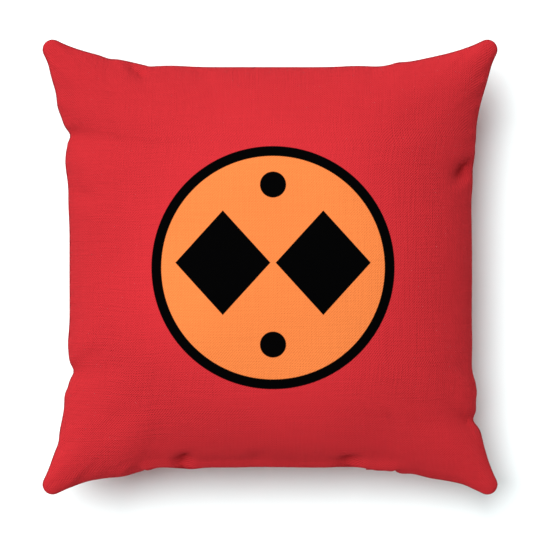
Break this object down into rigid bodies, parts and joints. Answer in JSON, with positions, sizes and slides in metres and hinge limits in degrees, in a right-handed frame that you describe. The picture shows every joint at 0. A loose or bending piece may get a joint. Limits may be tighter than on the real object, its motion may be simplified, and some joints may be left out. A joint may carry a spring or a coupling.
{
  "type": "throw pillow",
  "caption": "Square stuffed throw pillow with a printed front, a removable cover with a concealed zip in its bottom seam, and a fibre-filled insert.",
  "frame": {"origin": "on the surface that the pillow lies on, under the middle of the pillow", "axes": "+Z out of the printed front, +Y to the top edge, -Y to the bottom edge with the zip, +X to the right as seen from the front"},
  "size_m": [0.444, 0.444, 0.152],
  "materials": {
    "printed_cloth": "matte printed plain weave",
    "insert_cloth": "matte non-woven",
    "fibre": "soft fibre",
    "thread": "twisted thread",
    "zip_tape": "woven tape",
    "zip_nylon": "satin",
    "enamel": "gloss enamel",
    "stop_metal": "satin",
    "label_satin": "satin, blank"
  },
  "bodies": {
    "pillow": {"cover_front_panel": "printed_cloth", "cover_back_panel": "printed_cloth", "cover_overlock_thread": "thread", "cover_needle_thread": "thread", "cover_bobbin_thread": "thread", "zipper_front_tape": "zip_tape", "zipper_back_tape": "zip_tape", "zipper_front_teeth": "zip_nylon", "zipper_back_teeth": "zip_nylon", "zipper_front_stitching": "thread", "zipper_back_stitching": "thread", "zipper_front_top_stop": "stop_metal", "zipper_back_top_stop": "stop_metal", "zipper_bottom_stop": "stop_metal", "care_label": "label_satin", "insert_front_panel": "insert_cloth", "insert_back_panel": "insert_cloth", "insert_overlock_thread": "thread", "insert_needle_thread": "thread", "insert_bobbin_thread": "thread", "fibre_fill": "fibre"},
    "slider": {"zipper_slider": "enamel"},
    "pull": {"zipper_pull": "enamel"}
  },
  "joints": [
    {"name": "zip_slide", "type": "slide", "parent": "pillow", "child": "slider", "axis": [-1, 0, 0], "range_m": [0, 0.214]},
    {"name": "pull_swing", "type": "hinge", "parent": "slider", "child": "pull", "pos_m": [0.109, -0.1981, 0.072], "axis": [0, 0, 1], "range_deg": [0, 155]}
  ]
}
